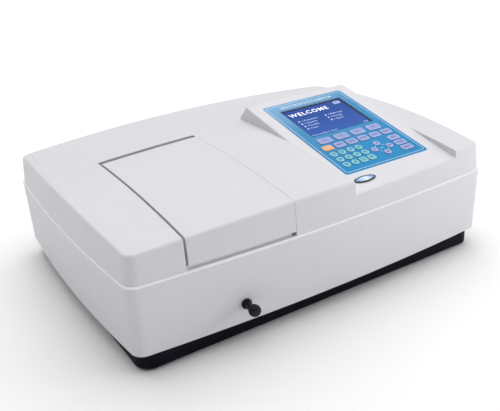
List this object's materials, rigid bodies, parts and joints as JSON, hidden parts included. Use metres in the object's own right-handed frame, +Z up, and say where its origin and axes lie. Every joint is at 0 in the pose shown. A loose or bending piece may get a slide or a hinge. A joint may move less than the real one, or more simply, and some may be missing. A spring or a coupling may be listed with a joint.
{
  "type": "spectrophotometer",
  "caption": "Low, wide bench spectrophotometer with a domed cover, hinged sample lid, pull rod cell changer and a tilted blue keypad with a display.",
  "frame": {"origin": "middle of the bounding box's footprint, at the level of the feet's undersides", "axes": "+X to the operator's right along the width, +Y to the back, +Z up"},
  "size_m": [0.6298, 0.481, 0.2212],
  "materials": {
    "black_chassis": "fine textured black powder coat",
    "foot_rubber": "matte black rubber",
    "housing_shell": "fine textured off-white paint",
    "cover_shell": "fine textured off-white paint",
    "lid_shell": "fine textured off-white paint",
    "screw_steel": "zinc plated",
    "pin_steel": "ground",
    "rail_steel": "ground",
    "overlay_film": "satin printed film, blue gradient",
    "lcd_screen": "blue backlit display behind a clear window",
    "circuit_board": "green board",
    "badge_plate": "domed plain badge with a dark ring",
    "chamber_black": "matte black, light absorbing",
    "seal_rubber": "matte black foam rubber",
    "window_glass": "polished",
    "carriage_anodised": "black anodised",
    "knob_black": "moulded black plastic",
    "connector_black": "moulded black plastic",
    "port_metal": "nickel plated",
    "cast_case": "black anodised casting",
    "sheet_steel": "folded sheet",
    "lamp_ceramic": "ceramic holder and glass envelope",
    "key_lavender": "printed satin film",
    "key_teal": "printed satin film",
    "key_orange": "printed satin film"
  },
  "bodies": {
    "housing": {"base_tray": "black_chassis", "rubber_feet": "foot_rubber", "lower_housing": "housing_shell", "case_screws": "screw_steel", "top_cover": "cover_shell", "keypad_overlay": "overlay_film", "lcd_module": "lcd_screen", "keypad_board": "circuit_board", "badge": "badge_plate", "hinge_pins": "pin_steel", "sample_chamber": "chamber_black", "chamber_seal": "seal_rubber", "beam_windows": "window_glass", "carriage_rails": "rail_steel", "rod_bushing": "knob_black", "power_inlet": "connector_black", "data_ports": "port_metal", "fan_frame": "connector_black", "monochromator_case": "cast_case", "lamp_house": "sheet_steel", "tungsten_lamp": "lamp_ceramic", "detector": "cast_case", "main_board": "circuit_board", "power_supply": "circuit_board"},
    "lid_body": {"lid": "lid_shell"},
    "carriage": {"cell_carriage": "carriage_anodised", "pull_rod": "rail_steel", "pull_knob": "knob_black"},
    "rocker": {"power_switch": "connector_black"},
    "fan": {"fan_rotor": "connector_black"},
    "grating": {"grating_table": "cast_case"},
    "key_f1_body": {"key_f1": "key_lavender"},
    "key_f2_body": {"key_f2": "key_lavender"},
    "key_f3_body": {"key_f3": "key_lavender"},
    "key_f4_body": {"key_f4": "key_lavender"},
    "key_start_body": {"key_start": "key_orange"},
    "key_mode_body": {"key_mode": "key_lavender"},
    "key_setup_body": {"key_setup": "key_lavender"},
    "key_store_body": {"key_store": "key_lavender"},
    "key_recall_body": {"key_recall": "key_lavender"},
    "key_print_body": {"key_print": "key_lavender"},
    "key_1_body": {"key_1": "key_teal"},
    "key_2_body": {"key_2": "key_teal"},
    "key_3_body": {"key_3": "key_teal"},
    "key_4_body": {"key_4": "key_teal"},
    "key_5_body": {"key_5": "key_teal"},
    "key_6_body": {"key_6": "key_teal"},
    "key_7_body": {"key_7": "key_teal"},
    "key_8_body": {"key_8": "key_teal"},
    "key_9_body": {"key_9": "key_teal"},
    "key_0_body": {"key_0": "key_teal"},
    "key_point_body": {"key_point": "key_teal"},
    "key_sign_body": {"key_sign": "key_teal"},
    "key_up_body": {"key_up": "key_lavender"},
    "key_left_body": {"key_left": "key_lavender"},
    "key_right_body": {"key_right": "key_lavender"},
    "key_down_body": {"key_down": "key_lavender"},
    "key_escape_body": {"key_escape": "key_lavender"},
    "key_clear_body": {"key_clear": "key_lavender"},
    "key_enter_body": {"key_enter": "key_lavender"}
  },
  "joints": [
    {"name": "lid_hinge", "type": "hinge", "parent": "housing", "child": "lid_body", "pos_m": [-0.142, 0.058, 0.185], "axis": [-1, 0, 0], "range_deg": [0, 95]},
    {"name": "carriage_slide", "type": "slide", "parent": "housing", "child": "carriage", "axis": [0, -1, 0], "range_m": [0, 0.054]},
    {"name": "switch_rocker", "type": "hinge", "parent": "housing", "child": "rocker", "pos_m": [0.078, 0.225, 0.084], "axis": [1, 0, 0], "range_deg": [0, 20]},
    {"name": "fan_spin", "type": "hinge", "parent": "housing", "child": "fan", "pos_m": [-0.095, 0.222, 0.084], "axis": [0, 1, 0], "continuous": true},
    {"name": "grating_turn", "type": "hinge", "parent": "housing", "child": "grating", "pos_m": [0.05, 0.062, 0.044], "axis": [0, 0, 1], "range_deg": [-15, 25]},
    {"name": "key_f1_press", "type": "slide", "parent": "housing", "child": "key_f1_body", "axis": [0, 0.1971, -0.9804], "range_m": [0, 0.0006], "stiffness_N_per_m": 900},
    {"name": "key_f2_press", "type": "slide", "parent": "housing", "child": "key_f2_body", "axis": [0, 0.1971, -0.9804], "range_m": [0, 0.0006], "stiffness_N_per_m": 900},
    {"name": "key_f3_press", "type": "slide", "parent": "housing", "child": "key_f3_body", "axis": [0, 0.1971, -0.9804], "range_m": [0, 0.0006], "stiffness_N_per_m": 900},
    {"name": "key_f4_press", "type": "slide", "parent": "housing", "child": "key_f4_body", "axis": [0, 0.1971, -0.9804], "range_m": [0, 0.0006], "stiffness_N_per_m": 900},
    {"name": "key_start_press", "type": "slide", "parent": "housing", "child": "key_start_body", "axis": [0, 0.1971, -0.9804], "range_m": [0, 0.0006], "stiffness_N_per_m": 900},
    {"name": "key_mode_press", "type": "slide", "parent": "housing", "child": "key_mode_body", "axis": [0, 0.1971, -0.9804], "range_m": [0, 0.0006], "stiffness_N_per_m": 900},
    {"name": "key_setup_press", "type": "slide", "parent": "housing", "child": "key_setup_body", "axis": [0, 0.1971, -0.9804], "range_m": [0, 0.0006], "stiffness_N_per_m": 900},
    {"name": "key_store_press", "type": "slide", "parent": "housing", "child": "key_store_body", "axis": [0, 0.1971, -0.9804], "range_m": [0, 0.0006], "stiffness_N_per_m": 900},
    {"name": "key_recall_press", "type": "slide", "parent": "housing", "child": "key_recall_body", "axis": [0, 0.1971, -0.9804], "range_m": [0, 0.0006], "stiffness_N_per_m": 900},
    {"name": "key_print_press", "type": "slide", "parent": "housing", "child": "key_print_body", "axis": [0, 0.1971, -0.9804], "range_m": [0, 0.0006], "stiffness_N_per_m": 900},
    {"name": "key_1_press", "type": "slide", "parent": "housing", "child": "key_1_body", "axis": [0, 0.1971, -0.9804], "range_m": [0, 0.0006], "stiffness_N_per_m": 900},
    {"name": "key_2_press", "type": "slide", "parent": "housing", "child": "key_2_body", "axis": [0, 0.1971, -0.9804], "range_m": [0, 0.0006], "stiffness_N_per_m": 900},
    {"name": "key_3_press", "type": "slide", "parent": "housing", "child": "key_3_body", "axis": [0, 0.1971, -0.9804], "range_m": [0, 0.0006], "stiffness_N_per_m": 900},
    {"name": "key_4_press", "type": "slide", "parent": "housing", "child": "key_4_body", "axis": [0, 0.1971, -0.9804], "range_m": [0, 0.0006], "stiffness_N_per_m": 900},
    {"name": "key_5_press", "type": "slide", "parent": "housing", "child": "key_5_body", "axis": [0, 0.1971, -0.9804], "range_m": [0, 0.0006], "stiffness_N_per_m": 900},
    {"name": "key_6_press", "type": "slide", "parent": "housing", "child": "key_6_body", "axis": [0, 0.1971, -0.9804], "range_m": [0, 0.0006], "stiffness_N_per_m": 900},
    {"name": "key_7_press", "type": "slide", "parent": "housing", "child": "key_7_body", "axis": [0, 0.1971, -0.9804], "range_m": [0, 0.0006], "stiffness_N_per_m": 900},
    {"name": "key_8_press", "type": "slide", "parent": "housing", "child": "key_8_body", "axis": [0, 0.1971, -0.9804], "range_m": [0, 0.0006], "stiffness_N_per_m": 900},
    {"name": "key_9_press", "type": "slide", "parent": "housing", "child": "key_9_body", "axis": [0, 0.1971, -0.9804], "range_m": [0, 0.0006], "stiffness_N_per_m": 900},
    {"name": "key_0_press", "type": "slide", "parent": "housing", "child": "key_0_body", "axis": [0, 0.1971, -0.9804], "range_m": [0, 0.0006], "stiffness_N_per_m": 900},
    {"name": "key_point_press", "type": "slide", "parent": "housing", "child": "key_point_body", "axis": [0, 0.1971, -0.9804], "range_m": [0, 0.0006], "stiffness_N_per_m": 900},
    {"name": "key_sign_press", "type": "slide", "parent": "housing", "child": "key_sign_body", "axis": [0, 0.1971, -0.9804], "range_m": [0, 0.0006], "stiffness_N_per_m": 900},
    {"name": "key_up_press", "type": "slide", "parent": "housing", "child": "key_up_body", "axis": [0, 0.1971, -0.9804], "range_m": [0, 0.0006], "stiffness_N_per_m": 900},
    {"name": "key_left_press", "type": "slide", "parent": "housing", "child": "key_left_body", "axis": [0, 0.1971, -0.9804], "range_m": [0, 0.0006], "stiffness_N_per_m": 900},
    {"name": "key_right_press", "type": "slide", "parent": "housing", "child": "key_right_body", "axis": [0, 0.1971, -0.9804], "range_m": [0, 0.0006], "stiffness_N_per_m": 900},
    {"name": "key_down_press", "type": "slide", "parent": "housing", "child": "key_down_body", "axis": [0, 0.1971, -0.9804], "range_m": [0, 0.0006], "stiffness_N_per_m": 900},
    {"name": "key_escape_press", "type": "slide", "parent": "housing", "child": "key_escape_body", "axis": [0, 0.1971, -0.9804], "range_m": [0, 0.0006], "stiffness_N_per_m": 900},
    {"name": "key_clear_press", "type": "slide", "parent": "housing", "child": "key_clear_body", "axis": [0, 0.1971, -0.9804], "range_m": [0, 0.0006], "stiffness_N_per_m": 900},
    {"name": "key_enter_press", "type": "slide", "parent": "housing", "child": "key_enter_body", "axis": [0, 0.1971, -0.9804], "range_m": [0, 0.0006], "stiffness_N_per_m": 900}
  ]
}
